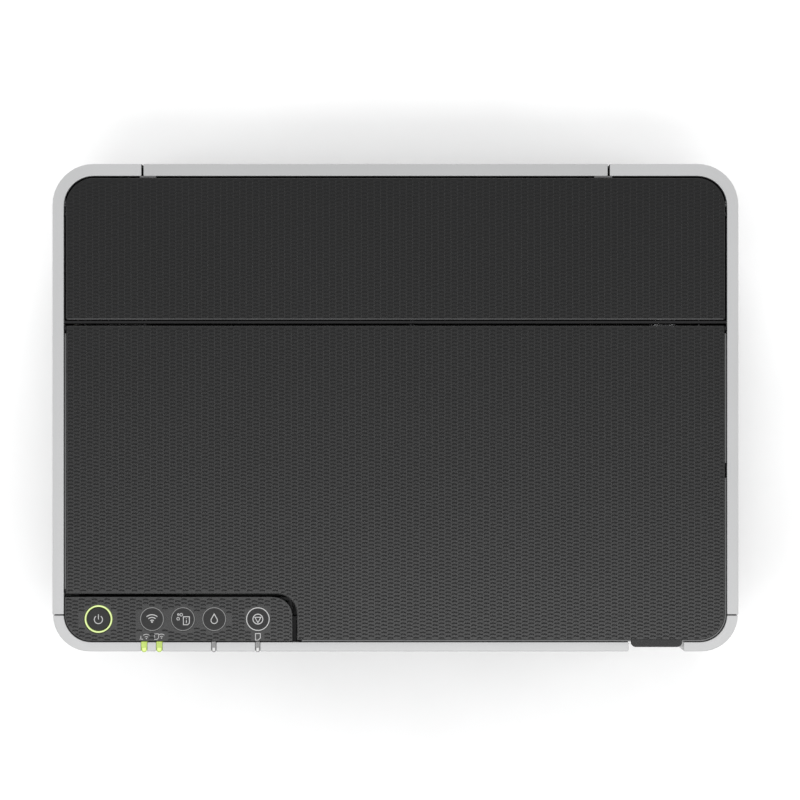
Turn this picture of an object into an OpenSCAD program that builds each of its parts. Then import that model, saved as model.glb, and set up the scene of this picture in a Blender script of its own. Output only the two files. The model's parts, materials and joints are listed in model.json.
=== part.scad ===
// Compact inkjet printer with an ink tank, a large top cover and a folding rear paper support.
// Millimetres. +Z is up, -Y is the front, X = 0 is the middle of the body, Z = 0 is the table.

/* [Body] */
// Width of the body over the light grey case
body_w = 375; // [373:0.5:378]
// Depth of the body, front panel face to rear cover face
body_d = 266.5; // [265.5:0.5:268]
// Height of the rim above the table
body_h = 161; // [160:0.5:164]
// Radius of the two rear corners, seen from above
rear_r = 22.5; // [20:0.5:24]
// Radius of the two front corners, seen from above
front_r = 20; // [18:0.5:21]
// Wall thickness of the case
wall = 2.5; // [2:0.1:3]
// Height of the foot under the bottom case
foot_h = 3; // [2:0.5:4]

/* [Rim] */
// Width of the rim along the sides
rim_side = 6.2; // [5.5:0.1:6.5]
// Width of the rim along the rear
rim_rear = 6.6; // [6:0.1:7]
// Width of the rim along the front
rim_front = 5; // [4.5:0.1:5.2]
// Height of the rim's inner face
rim_t = 5; // [4.5:0.1:5.5]

/* [Top panels] */
// How far the black panels lie below the rim
top_drop = 0.6; // [0.3:0.1:1]
// Thickness of the black panels
panel_t = 3; // [2.8:0.1:3.2]
// Gap between the paper support and the rim
flap_gap = 1; // [0.8:0.1:1.3]
// Gap between the printer cover and the rim
lid_gap = 0.3; // [0.25:0.05:0.5]

/* [Buttons] */
// Radius of the small buttons
button_r = 6.3; // [6:0.1:6.6]
// Button travel
button_travel = 0.8; // [0.5:0.1:1]
// Distance of the button row behind the front face
button_row = 17.6; // [16.5:0.1:18.5]

/* [Paper feed] */
// Radius of the feed and exit rollers
feed_r = 6; // [5.6:0.1:6.2]
// Height of the feed and exit roller axes
feed_z = 76; // [75.6:0.1:76.2]
// Distance of the feed roller axis behind the body centre
feed_y = 30; // [29.8:0.1:30.2]
// Radius of the pickup roller's tyre
pickup_r = 11.5; // [11:0.1:11.8]
// Slope of the paper in the feeder
feed_slope = 47; // [46:0.5:48]
// Radial clearance of the shafts in their bores
fit = 0.05; // [0.03:0.01:0.08]

/* [Output tray] */
// Width of the output tray
tray_w = 218; // [214:1:219]
// X of the middle of the paper
paper_x = -11; // [-12:0.5:-10]

/* [Hidden] */
$fn = 48;
led_proud = 0.5;
hw = body_w / 2;
rear_y = (body_d + led_proud) / 2;
front_y = rear_y - body_d;
seam_y = front_y + 19.9;
top_z = body_h - top_drop;
panel_z = top_z - panel_t;
rim_z = body_h - rim_t;
case_z = 18;
floor_z = foot_h + 3;
rim_x = hw - rim_side;
rim_y1 = rear_y - rim_rear;
rim_y0 = front_y + rim_front;
inner_x = hw - wall;
rear_cover_x = [-137.8, 116.1];
seam = 0.4;
rear_gap = 1;

// Hinges of the two top panels: their axes lie in the middle of the panel thickness
hinge_z = top_z - panel_t / 2;
hinge_pin_r = 1.3;
guard_r = 1.5;
flap_hinge_y = 106;
flap_y = [48.4, rim_y1 - 1.1];
lid_y = [front_y + 5.4, 45];
lid_hinge_y = lid_y[1] - panel_t / 2;
lid_step_y = 40.8;
bar_y = [46.2, 47.8];
bar_h = 16;
bearing_w = 5;

// Control panel, at the front left
panel_x1 = -56.3;
panel_y = [front_y + 5.5, front_y + 29.7];
panel_r = 10.5;
panel_front_r = 14.6;
panel_gap = [1.8, 1];
button_y = front_y + button_row;
power_x = -162.4;
ring_r = 7.7;
small_buttons = [-133.1, -116.2, -99.1, -75.2];
lit_pipes = [-137.4, -129.1];
dark_pipes = [-99.3, -75.3];
lit_w = 3.2;
dark_w = 2.5;
pipes = [for (x = lit_pipes) [x, lit_w], for (x = dark_pipes) [x, dark_w]];
pipe_play = 0.1;
board_z = 148;
board_t = 1.6;
switch_z = board_z + 3.4;

// Notch in the front of the rim
notch_x = [127.4, 157.6];
tab_x = [128.8, 156.7];
window_x = [133, 152];
window_z = [38, 100];
recess_y = front_y + 7;
recess_z = 32;

// Output tray and its opening
opening_x = [-128, 106];
opening_z = [24, 74];
tray_t = 3;
tray_x = [paper_x - tray_w / 2, paper_x + tray_w / 2];

// Feeder frame: its local Y runs up the paper slope and its local Z points at the pickup roller
pickup_y = 58;
pickup_z = 112;
shaft_r = 3;

// Gears
module_a = 1.2;
module_b = 1;
feed_teeth = 32;
idler_teeth = 24;
pinion_teeth = 16;
transfer_big = 22;
transfer_small = 14;
stub_r = 1.5;
motor_shaft_r = 1;
second_teeth = 16;
pickup_teeth = 40;
gear_w = 3.6;
plane_a = -183;
plane_b = -178.8;
exit_y = feed_y - module_a * (feed_teeth + idler_teeth);
idler_y = feed_y - module_a * (feed_teeth + idler_teeth) / 2;
pinion_dir = -52.5;
pinion_d = module_a * (feed_teeth + pinion_teeth) / 2;
pinion_at = [feed_y + pinion_d * cos(pinion_dir), feed_z + pinion_d * sin(pinion_dir)];
transfer_dir = 105;
transfer_d = module_a * (feed_teeth + transfer_big) / 2;
transfer_at = [feed_y + transfer_d * cos(transfer_dir), feed_z + transfer_d * sin(transfer_dir)];
second_at = meet(transfer_at, module_b * (transfer_small + second_teeth) / 2,
                 [pickup_y, pickup_z], module_b * (pickup_teeth + second_teeth) / 2);

// Carriage, drawn at its home place on the right
rod_y = 28;
rod_z = 104;
carriage_x = [92, 158];
belt_z = 120;
belt_r = 6;
belt_y = [27.5, 32.5];
belt_x = [-160, 150];
strip_x = [-150, 138];
strip_y = [35.4, 35.9];
strip_z = [117, 123];
wall_y = [37, 38.2];
plate_x = [-173.2, 168];
plate_t = 1.2;

// Ink tank
tank_x = [121, 173];
tank_y = [-122, -62];
tank_z = [30, 104];
fill_at = [150, -94];
cap_hinge = [-72, 113.5];
tube_at = [130, 96];
tank_t = 2;
cap_pin_r = 1.3;

// Sockets in the rear wall
inlet_x = [129, 151];
inlet_z = [28, 44];
usb_x = [-156, -144];
usb_z = [31.6, 46.6];

// Screws: the case is closed from below
screw_r = 1.5;
thread_r = 1.6;
head_r = 3;
head_z = foot_h + 2.6;
boss_top = 40;

// ---- helpers ----

// Points on an arc
function arc(cx, cy, r, a0, a1, n = 10) =
    [for (i = [0:n]) let (a = a0 + (a1 - a0) * i / n) [cx + r * cos(a), cy + r * sin(a)]];

// A rectangle with its own front and rear corner radii
function rounded(x0, x1, y0, y1, rf, rr) = concat(
    arc(x1 - rr, y1 - rr, rr, 0, 90), arc(x0 + rr, y1 - rr, rr, 90, 180),
    arc(x0 + rf, y0 + rf, rf, 180, 270), arc(x1 - rf, y0 + rf, rf, 270, 360));

// The body's outline, moved in by d
function outline(d) = rounded(-hw + d, hw - d, front_y + d, rear_y - d, front_r - d, rear_r - d);

// Where two circles meet: the point above the line from a to b
function meet(a, ra, b, rb) = let (d = norm(b - a), u = (b - a) / d,
    x = (ra * ra - rb * rb + d * d) / (2 * d), h = sqrt(ra * ra - x * x)) a + x * u + h * [-u[1], u[0]];

function bearing(a, b) = atan2(b[1] - a[1], b[0] - a[0]);

// Turn of a gear that meshes with another along a direction
function mesh(dir, turn, teeth, own) = dir + 180 - 180 / own + (dir - turn) * teeth / own;

module box(x, y, z) { translate([x[0], y[0], z[0]]) cube([x[1] - x[0], y[1] - y[0], z[1] - z[0]]); }

module slab(points, z) { translate([0, 0, z[0]]) linear_extrude(z[1] - z[0]) polygon(points); }

module xrod(r, x, at) {
    translate([x[0], at[0], at[1]]) rotate([0, 90, 0]) cylinder(r = r, h = x[1] - x[0]);
}

module yrod(r, y, at) {
    translate([at[0], y[0], at[1]]) rotate([-90, 0, 0]) cylinder(r = r, h = y[1] - y[0]);
}

module zrod(r, z, at) { translate([at[0], at[1], z[0]]) cylinder(r = r, h = z[1] - z[0]); }

// An outline in the YZ plane, extruded along X
module xslab(points, x) {
    translate([x[0], 0, 0]) rotate([90, 0, 90]) linear_extrude(x[1] - x[0]) polygon(points);
}

// The feeder's own frame on the paper slope
module on_slope() {
    translate([0, pickup_y + pickup_r * sin(feed_slope), pickup_z - pickup_r * cos(feed_slope)])
        rotate([feed_slope, 0, 0]) children();
}

// Half the angle that a tooth covers at radius r
pressure = 20;
tooth_play = 0.12;
function involute(a) = tan(a) * 180 / PI - a;
function half_tooth(r, m, teeth) = let (rb = m * teeth / 2 * cos(pressure), a = acos(min(1, rb / r)))
    90 / teeth - tooth_play / (m * teeth / 2) * 180 / PI + involute(pressure) - involute(a);

// Outline of a spur gear with its first tooth on the +X side
function gear_outline(m, teeth) = let (rp = m * teeth / 2, base = rp * cos(pressure), root = rp - 1.2 * m,
    low = max(base, root), tip = rp + 0.85 * m, flank = [low, (low + tip) / 2, tip],
    foot = half_tooth(low, m, teeth),
    tooth = concat(root < base ? [[root, -foot]] : [], [for (r = flank) [r, -half_tooth(r, m, teeth)]],
        [for (i = [2:-1:0]) [flank[i], half_tooth(flank[i], m, teeth)]], root < base ? [[root, foot]] : []))
    [for (k = [0:teeth - 1], p = tooth) let (a = 360 * k / teeth + p[1]) [p[0] * cos(a), p[0] * sin(a)]];

// A spur gear that turns about X, at (y, z)
module gear(m, teeth, x, at, turn, bore) {
    difference() {
        xslab([for (p = gear_outline(m, teeth)) [at[0] + p[0] * cos(turn) - p[1] * sin(turn),
                                                at[1] + p[0] * sin(turn) + p[1] * cos(turn)]], x);
        xrod(bore, [x[0] - 1, x[1] + 1], at);
    }
}

// ---- case ----

module bottom_case() {
    color("#3a3b3d") difference() {
        union() {
            difference() {
                slab(outline(0.4), [foot_h, case_z]);
                slab(outline(0.4 + wall), [floor_z, case_z + 1]);
            }
            for (s = screw_places()) zrod(5, [floor_z, case_z], s);
        }
        for (s = screw_places()) {
            zrod(thread_r, [foot_h - 1, case_z + 1], s);
            zrod(head_r + 0.4, [foot_h - 1, head_z], s);
        }
    }
}

// The bed that the output tray slides on, and the stand of the ink tank
module tray_bed() {
    rail_x = [opening_x[0] + 2.3, opening_x[1] - 5.5];
    rail_w = 4;
    stand_x = [126, 165];
    stand_y = [tank_y[0] + 4, tank_y[1] - 4];
    stand_t = 3;
    part_gap = 0.2;
    color("#47484a") {
        for (x = rail_x) box([x, x + rail_w], [front_y + 4, 20], [floor_z, opening_z[0] + 12]);
        for (y = [-110, -60, -10]) box(
            [rail_x[0] + rail_w + part_gap, rail_x[1] - part_gap],
            [y, y + 2.5],
            [floor_z, opening_z[0] + 1.7]
        );
        for (x = stand_x) box([x, x + stand_t], stand_y, [floor_z, tank_z[0]]);
        box(
            [stand_x[0] + stand_t + part_gap, stand_x[1] - part_gap],
            [stand_y[1] - stand_t, stand_y[1]],
            [floor_z, tank_z[0]]
        );
    }
}

// A boss for a case screw, with a rib to the side wall
module screw_boss(at) {
    zrod(4, [case_z, boss_top], at);
    box(at[0] > 0 ? [at[0], inner_x + 0.5] : [-inner_x - 0.5, at[0]], [at[1] - 1, at[1] + 1],
        [case_z, boss_top]);
}

function screw_places() = [for (x = [-179, 179], y = [front_y + 16, 0, 108]) [x, y]];

// Everything behind the side seam, without the rear cover
module case_keep() {
    difference() {
        box([-hw - 1, hw + 1], [seam_y + seam / 2, rear_y + 1], [0, body_h + 1]);
        box([rear_cover_x[0] - rear_gap, rear_cover_x[1] + rear_gap], [rear_y - rear_r, rear_y + 1],
            [0, body_h + 1]);
    }
}

// Wall and rim all round, with the sides moved in by d
module case_ring(d) {
    difference() {
        slab(rounded(-hw + d, hw - d, front_y, rear_y, front_r, rear_r), [case_z, body_h]);
        slab(outline(wall), [case_z - 1, rim_z]);
        slab(rounded(-rim_x, rim_x, rim_y0, rim_y1, front_r - rim_front, rear_r - rim_side),
             [rim_z - 1, body_h + 1]);
    }
}

// The two bearings of a top panel's hinge, under the rim
module bearing_blocks(y) {
    for (s = [-1, 1]) box([s > 0 ? rim_x : -inner_x, s > 0 ? inner_x : -rim_x],
                          [y - bearing_w, y + bearing_w], [rim_z - 2, rim_z]);
}

module outer_case() {
    bar_low = rim_z - bar_h;
    bracket = [[bar_y[1], bar_low], [bar_y[1] + 6, bar_low], [bar_y[1] + 6, rim_z - 5],
        [bar_y[1], rim_z - 3]];
    pin_end = rim_x + 3.2;
    color("#c9cacb") difference() {
        union() {
            intersection() { case_ring(0); case_keep(); }
            box([-inner_x, inner_x], bar_y, [bar_low, top_z]);
            bearing_blocks(lid_hinge_y);
            bearing_blocks(flap_hinge_y);
            for (x = [-129, 104.5]) xslab(bracket, [x, x + 2.5]);
            for (s = screw_places()) if (s[1] >= 0) screw_boss(s);
        }
        for (x = [[rim_x - 1, pin_end], [-pin_end, -rim_x + 1]], y = [lid_hinge_y, flap_hinge_y])
            xrod(hinge_pin_r + fit, x, [y, hinge_z]);
        xrod(guard_r + fit, [-140, 110], guard_at());
        for (s = screw_places()) zrod(thread_r, [case_z - 1, boss_top - 6], s);
        box([inlet_x[0] - 0.4, inlet_x[1] + 0.4], [rear_y - wall - 1, rear_y + 1],
            [inlet_z[0] - 0.4, inlet_z[1] + 0.4]);
        box([usb_x[0] - 1, usb_x[1] + 1], [rear_y - wall - 1, rear_y + 1],
            [usb_z[0] - 0.6, usb_z[1] + 0.6]);
    }
}

function guard_at() = [bar_y[1] + 3, rim_z - 10];

module rear_cover() {
    vent = 2.5;
    vents = 8;
    color("#c1c2c3") difference() {
        intersection() {
            case_ring(0);
            box(rear_cover_x, [rear_y - rear_r, rear_y + 1], [0, body_h + 1]);
        }
        for (i = [0:vents - 1]) let (x = 60 + 2 * vent * i)
            box([x, x + vent], [rear_y - wall - 1, rear_y + 1], [30, 58]);
    }
}

// The case's front with its output opening and its notch, before the fittings behind it
module front_shell() {
    difference() {
        intersection() {
            case_ring(0.3);
            box([-hw - 1, hw + 1], [front_y - 1, seam_y - seam / 2], [0, body_h + 1]);
        }
        box(opening_x, [front_y - 1, front_y + wall + 1], opening_z);
        box(notch_x, [front_y - 1, rim_y0 + 1], [recess_z, body_h + 1]);
    }
}

// The wall behind the notch, which holds the ink window
module notch_recess() {
    t = 2;
    difference() {
        box([notch_x[0] - t, notch_x[1] + t], [front_y + 0.5, recess_y + t], [recess_z - t, rim_z]);
        box(notch_x, [front_y - 1, recess_y], [recess_z, rim_z + 1]);
    }
}

// The ledge under the edges of the control panel, and a lower one under the gap beside it
module deck_ledge() {
    t = 2;
    low = rim_z - 12;
    box([panel_x1 - t, panel_x1 + panel_gap[0] + 0.4], [front_y + wall - 0.5, panel_y[1] - panel_r],
        [low, panel_z - 0.6]);
    box([panel_x1 - t, panel_x1], [front_y + wall - 0.5, panel_y[1]], [low, panel_z]);
    box([-rim_x + 0.3, panel_x1], [panel_y[1] - t, panel_y[1]], [low, panel_z]);
    box([-rim_x + 0.3, -rim_x + 0.3 + t], [front_y + 8, panel_y[1]], [low, rim_z - 1]);
}

module front_panel() {
    color("#d2d3d4") difference() {
        union() {
            front_shell();
            notch_recess();
            deck_ledge();
            for (s = screw_places()) if (s[1] < 0) screw_boss(s);
        }
        for (s = screw_places()) zrod(thread_r, [case_z - 1, boss_top - 6], s);
        box(window_x, [recess_y - 1, recess_y + 3], window_z);
        for (p = pipes) let (half = p[1] / 2 + pipe_play)
            box([p[0] - half, p[0] + half], [front_y - 1, rim_y0 + 1], [rim_z - 1, body_h + 1]);
    }
}

module control_panel() {
    x0 = -rim_x + 0.4;
    edge = concat([[panel_x1, panel_y[0]]], arc(panel_x1 - panel_r, panel_y[1] - panel_r, panel_r, 0, 90),
        [[x0, panel_y[1]]], arc(x0 + panel_front_r, panel_y[0] + panel_front_r, panel_front_r, 180, 270));
    color("#3f4042") {
        difference() {
            slab(edge, [panel_z, top_z]);
            zrod(ring_r + 0.1, [panel_z - 1, top_z + 1], [power_x, button_y]);
            for (x = small_buttons) zrod(button_r + 0.2, [panel_z - 1, top_z + 1], [x, button_y]);
        }
        for (x = [-147.5, -87.2, -62], y = [panel_y[0] + 3, panel_y[1] - 5])
            zrod(1.8, [board_z + board_t, panel_z], [x, y]);
    }
}

// Keeps its flange under the panel; the stem ends just above its switch on the board
module button(x) {
    at = [x, button_y];
    zrod(button_r, [panel_z - 0.6, top_z + 0.1], at);
    zrod(button_r + 0.9, [panel_z - 1.4, panel_z - 0.2], at);
    zrod(1.5, [switch_z + button_travel + 0.2, panel_z - 1], at);
}

module power_button() { color("#2b2c2e") button(power_x); }
module wireless_button() { color("#2b2c2e") button(small_buttons[0]); }
module network_button() { color("#2b2c2e") button(small_buttons[1]); }
module ink_button() { color("#2b2c2e") button(small_buttons[2]); }
module stop_button() { color("#2b2c2e") button(small_buttons[3]); }

// ---- top panels ----

module printer_cover() {
    x = rim_x - lid_gap;
    ledge = 1;
    tab_y = [front_y + 2.3, lid_y[0] + 2];
    corner_r = 15;
    cut = [panel_x1 + panel_gap[0], panel_y[1] + panel_gap[1]];
    function edge(d) = concat([[x - d, lid_step_y], [-x + d, lid_step_y], [-x + d, cut[1]]],
        arc(cut[0] - panel_r, cut[1] - panel_r, panel_r, 90, 0), [[cut[0], lid_y[0] + d]],
        arc(x - corner_r, lid_y[0] + corner_r, corner_r - d, 270, 360));
    color("#414244") {
        slab(edge(0), [panel_z, top_z - 0.8]);
        slab(edge(ledge), [panel_z, top_z]);
        box([-x + ledge, x - ledge], [lid_step_y - 0.8, lid_hinge_y], [panel_z, top_z]);
        xrod(panel_t / 2, [-x + ledge, x - ledge], [lid_hinge_y, hinge_z]);
        xrod(hinge_pin_r, [-x - 2.4, x + 2.4], [lid_hinge_y, hinge_z]);
        slab(rounded(tab_x[0], tab_x[1], tab_y[0], tab_y[1], 2, 1), [panel_z, top_z - 0.2]);
    }
}

// Two rails under the support carry its extension
module paper_support() {
    x = rim_x - flap_gap;
    rail_y = [51, 104];
    color("#343536") {
        slab(rounded(-x, x, flap_y[0], flap_y[1], 0.8, rear_r - rim_side - flap_gap), [panel_z, top_z]);
        xrod(hinge_pin_r, [-x - 3.4, x + 3.4], [flap_hinge_y, hinge_z]);
        for (s = [-1, 1]) {
            box([paper_x + s * 61 - 1, paper_x + s * 61 + 1], rail_y, [panel_z - 4, panel_z + 0.5]);
            box([paper_x + s * 60 - 2, paper_x + s * 60 + 2], rail_y, [panel_z - 5, panel_z - 3.9]);
        }
    }
}

// A sheet with a finger tab on its front edge
module support_extension() {
    z = [panel_z - 3.7, panel_z - 0.3];
    color("#3a3b3c") {
        box([paper_x - 59.6, paper_x + 59.6], [57.5, 103.5], z);
        box([paper_x - 12, paper_x + 12], [55.5, 58], z);
    }
}

module feeder_guard() {
    at = guard_at();
    x = [-126, 104];
    color("#3a3b3c") {
        xrod(guard_r, [x[0] - 2.4, x[1] + 2.4], at);
        box(x, [at[0], 88], [at[1] - 1, at[1] + 1]);
        box(x, [86, 88], [at[1] - 4, at[1]]);
    }
}

// ---- feeder ----

hopper_pin = [34, -8];
module feeder_frame() {
    color("#47484a") {
        on_slope() {
            box([-125, 103], [-13, 38], [-16, -13.5]);
            difference() {
                union() for (x = [-127.6, 102.5]) box([x, x + 3.1], [-13, 42], [-16, 5]);
                xrod(stub_r + fit, [-130, 110], hopper_pin);
            }
        }
        box([-128, 106], [101, rear_y - wall], [118, 121]);
        for (x = [-128, 103]) box([x, x + 3], [101, rear_y - wall], [case_z + 40, 120]);
    }
}

// Rack and pinion that moves both edge guides, behind the hopper plate
guide_travel = 58;
guide_x = [-118.5, 96.5];
rack_m = 1;
rack_teeth = 14;
rack_r = rack_m * rack_teeth / 2;
pinion_y = 12;
rack_z = [-11.6, -9.6];
hopper_z = [-9.2, -6.8];
slot_w = 4;

// Local Y of the middle of a guide's rack bar
function rack_y(side) = pinion_y - side * (rack_r + 3.2);

module hopper_plate() {
    color("#55565a") on_slope() {
        difference() {
            box([-122, 100], [-9, 37], hopper_z);
            zrod(2 + fit, [-10, -6], [paper_x, pinion_y]);
            for (i = [0, 1]) let (side = 2 * i - 1, x = guide_x[i] - side * guide_travel)
                box([min(x, guide_x[i]) - 3.4, max(x, guide_x[i]) + 3.4],
                    [rack_y(side) - slot_w / 2 - 0.3, rack_y(side) + slot_w / 2 + 0.3], [-10, -6]);
        }
        xrod(stub_r, [-127.4, 105.4], hopper_pin);
    }
}

// Teeth face the pinion; the bar runs from the guide to just past the pinion
module rack(x, side) {
    flat = PI * rack_m / 4 - tooth_play;
    pitch_y = pinion_y - side * rack_r;
    back_y = pitch_y - side * 4.8;
    root_y = pitch_y - side * 1.2 * rack_m;
    tip_y = pitch_y + side * 0.85 * rack_m;
    wide = flat + 1.2 * rack_m * tan(pressure);
    narrow = flat - 0.85 * rack_m * tan(pressure);
    first = side < 0 ? -19 : -2;
    translate([0, 0, rack_z[0]]) linear_extrude(rack_z[1] - rack_z[0]) polygon(concat(
        [[min(x, paper_x - 10), back_y], [min(x, paper_x - 10), root_y]],
        [for (k = [first:first + 21]) let (c = paper_x + k * PI * rack_m)
            for (p = [[-wide, root_y], [-narrow, tip_y], [narrow, tip_y], [wide, root_y]])
                [c + p[0], p[1]]],
        [[max(x, paper_x + 10), root_y], [max(x, paper_x + 10), back_y]]));
}

// side is -1 for the left guide and 1 for the right one
module edge_guide(side) {
    x = guide_x[side < 0 ? 0 : 1];
    on_slope() {
        box([x - 1.5, x + 1.5], [8, 33], [-6.6, 8]);
        box([x - 1.5, x + 1.5], [-12, 8], [-6.6, 2]);
        box(side < 0 ? [x, x + 14] : [x - 14, x], [-1, 31], [-6.6, -5.6]);
        box([x - 3, x + 3], [rack_y(side) - slot_w / 2, rack_y(side) + slot_w / 2], [rack_z[0], -6.2]);
        rack(x, side);
    }
}

module left_edge_guide() { color("#2f3032") edge_guide(-1); }
module right_edge_guide() { color("#2f3032") edge_guide(1); }

module guide_pinion() {
    color("#d8d8d0") on_slope() {
        translate([paper_x, pinion_y, rack_z[0]]) rotate([0, 0, 90 + 180 / rack_teeth])
            linear_extrude(rack_z[1] - rack_z[0]) polygon(gear_outline(rack_m, rack_teeth));
        zrod(2, [rack_z[1] - 0.5, hopper_z[1]], [paper_x, pinion_y]);
    }
}

module pickup_roller() {
    color("#d0d0ca") {
        xrod(shaft_r, [-178.9, 14], [pickup_y, pickup_z]);
        xrod(pickup_r - 2.5, [paper_x - 14, paper_x + 14], [pickup_y, pickup_z]);
    }
}

module pickup_tyre() {
    color("#3a3a3a") difference() {
        xrod(pickup_r, [paper_x - 12, paper_x + 12], [pickup_y, pickup_z]);
        xrod(pickup_r - 2.5, [paper_x - 13, paper_x + 13], [pickup_y, pickup_z]);
    }
}

// ---- gears ----

transfer_turn = mesh(transfer_dir, 0, feed_teeth, transfer_big);
second_turn = mesh(bearing(transfer_at, second_at), transfer_turn, transfer_small, second_teeth);
pickup_turn = mesh(bearing(second_at, [pickup_y, pickup_z]), second_turn, second_teeth, pickup_teeth);
idler_turn = mesh(180, 0, feed_teeth, idler_teeth);
exit_turn = mesh(180, idler_turn, idler_teeth, feed_teeth);
pinion_turn = mesh(pinion_dir, 0, feed_teeth, pinion_teeth);
wide_a = [plane_a, plane_a + gear_w];
wide_b = [plane_b, plane_b + gear_w];
white = "#e6e5dd";

module feed_gear() {
    color(white) gear(module_a, feed_teeth, wide_a, [feed_y, feed_z], 0, shaft_r);
}

module exit_gear() {
    color(white) gear(module_a, feed_teeth, wide_a, [exit_y, feed_z], exit_turn, shaft_r);
}

module idler_gear() {
    color(white) gear(module_a, idler_teeth, wide_a, [idler_y, feed_z], idler_turn, stub_r + fit);
}

module motor_pinion() {
    color("#c8a860") {
        gear(module_a, pinion_teeth, wide_a, pinion_at, pinion_turn, 0.8);
        xrod(motor_shaft_r, [plane_a, plate_x[0] + 10], pinion_at);
    }
}

module second_gear() {
    color(white) gear(module_b, second_teeth, wide_b, second_at, second_turn, stub_r + fit);
}

module pickup_gear() {
    color(white) gear(module_b, pickup_teeth, wide_b, [pickup_y, pickup_z], pickup_turn, shaft_r);
}
// A double gear: the large one meshes with the feed gear and the small one with the second gear
module transfer_gear() {
    color(white) {
        gear(module_a, transfer_big, wide_a, transfer_at, transfer_turn, stub_r + fit);
        gear(module_b, transfer_small, wide_b, transfer_at, transfer_turn, stub_r + fit);
        difference() {
            xrod(5, [wide_a[1], plane_b], transfer_at);
            xrod(stub_r + fit, [plane_a, plane_b + 1], transfer_at);
        }
    }
}

// ---- mechanism ----

// Two side plates joined by a rear wall and a front rail, with the stub shafts of the gears
module main_frame() {
    side = [[-46, floor_z], [64, floor_z], [64, 126], [14, 126], [-46, 96]];
    across = [plate_x[0], plate_x[1] + plate_t];
    motor_plate = [[8, 11], [38.2, 62.5], [105, 118]];
    color("#a9adb0") difference() {
        union() {
            for (x = plate_x) xslab(side, [x, x + plate_t]);
            box(across, wall_y, [92, 126]);
            box(across, [-29.8, -28.6], [50, 70]);
            box(motor_plate[0], motor_plate[1], motor_plate[2]);
            for (at = [transfer_at, [idler_y, feed_z]]) xrod(stub_r, [plane_a, plate_x[0] + 0.5], at);
            xrod(stub_r, [plane_b - 0.2, plate_x[0] + 0.5], second_at);
            yrod(stub_r, [belt_y[0] - 1.4, wall_y[0] + 0.5], [belt_x[0], belt_z]);
            for (x = strip_x) box([x, x + 2], [strip_y[1], wall_y[0] + 0.2], strip_z);
        }
        for (at = [[feed_y, feed_z], [exit_y, feed_z], [pickup_y, pickup_z]])
            xrod(shaft_r + fit, [-180, 175], at);
        xrod(motor_shaft_r + fit, [-175, -170], pinion_at);
        xrod(shaft_r, [-175, 172], [rod_y, rod_z]);
        yrod(2.1, [30, 40], [belt_x[1], belt_z]);
    }
}

module feed_roller() {
    color("#8f9396") {
        xrod(shaft_r, roller_x, [feed_y, feed_z]);
        xrod(feed_r, [paper_x - 108, paper_x + 108], [feed_y, feed_z]);
    }
}

module exit_roller() {
    color("#4a4b4d") {
        xrod(shaft_r, roller_x, [exit_y, feed_z]);
        for (i = [-3:3]) let (x = paper_x + i * exit_pitch)
            xrod(feed_r, [x - 7, x + 7], [exit_y, feed_z]);
    }
}

roller_x = [plane_a - 0.2, plate_x[1] + 4];
exit_pitch = 30;
pinch_pitch = 40;
pinch_r = 3;
pinch_shaft_r = 1.4;
pinch_dy = 1.2;
star_r = 4;
star_shaft_r = 1;
pinch_at = [feed_y + pinch_dy, feed_z + sqrt(pow(feed_r + pinch_r + 0.3, 2) - pow(pinch_dy, 2))];
star_at = [exit_y, feed_z + feed_r + star_r + 0.3];

module pinch_rollers() {
    color("#e2e2dc") {
        xrod(pinch_shaft_r, [paper_x - 111, paper_x + 111], pinch_at);
        for (i = [-2.5:2.5]) let (x = paper_x + i * pinch_pitch)
            xrod(pinch_r, [x - 10, x + 10], pinch_at);
    }
}

// Pairs of thin wheels over the tyres of the exit roller
module star_wheels() {
    color("#c9ccce") {
        xrod(star_shaft_r, [paper_x - 106, paper_x + 106], star_at);
        for (i = [-3:3], side = [-4, 4]) let (x = paper_x + i * exit_pitch + side)
            xrod(star_r, [x - 0.5, x + 0.5], star_at);
    }
}

// The arms of the pinch rollers on the frame's rear wall, and the bar of the star wheels
module wheel_holders() {
    arm = [[pinch_at[0] - 3, pinch_at[1] - 3], [pinch_at[0] + 3, pinch_at[1] - 3], [36.9, 92], [36.9, 96],
        [34.8, 96], [pinch_at[0] - 3, pinch_at[1] + 3]];
    color("#505255") {
        box([paper_x - 112, paper_x + 112], [34.8, wall_y[0]], [90, 98]);
        difference() {
            for (i = [-2:2]) let (x = paper_x + i * pinch_pitch) xslab(arm, [x - 1.5, x + 1.5]);
            xrod(pinch_shaft_r + fit, [paper_x - 120, paper_x + 120], pinch_at);
        }
        box([plate_x[0] + plate_t, plate_x[1]], [-44, -31.5], [92, 94]);
        difference() {
            for (i = [-3.5:3.5]) let (x = paper_x + i * exit_pitch)
                box([x - 1, x + 1], [star_at[0] - 3, star_at[0] + 3], [84.5, 92.5]);
            xrod(star_shaft_r + fit, [paper_x - 120, paper_x + 120], star_at);
        }
    }
}

module platen() {
    color("#3b3c3e") {
        box([paper_x - 111, paper_x + 107], [-28.5, 21], [72, 79]);
        for (i = [-8:8]) let (x = paper_x + i * 12.4) box([x - 0.8, x + 0.8], [-27, 20], [78, 81.8]);
        for (x = [paper_x - 90, paper_x, paper_x + 90]) box([x - 6, x + 6], [-28.5, -24], [60, 73]);
    }
}

module guide_rod() {
    color("#c3c6c8") xrod(shaft_r, [plate_x[0], plate_x[1] + plate_t], [rod_y, rod_z]);
}

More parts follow.
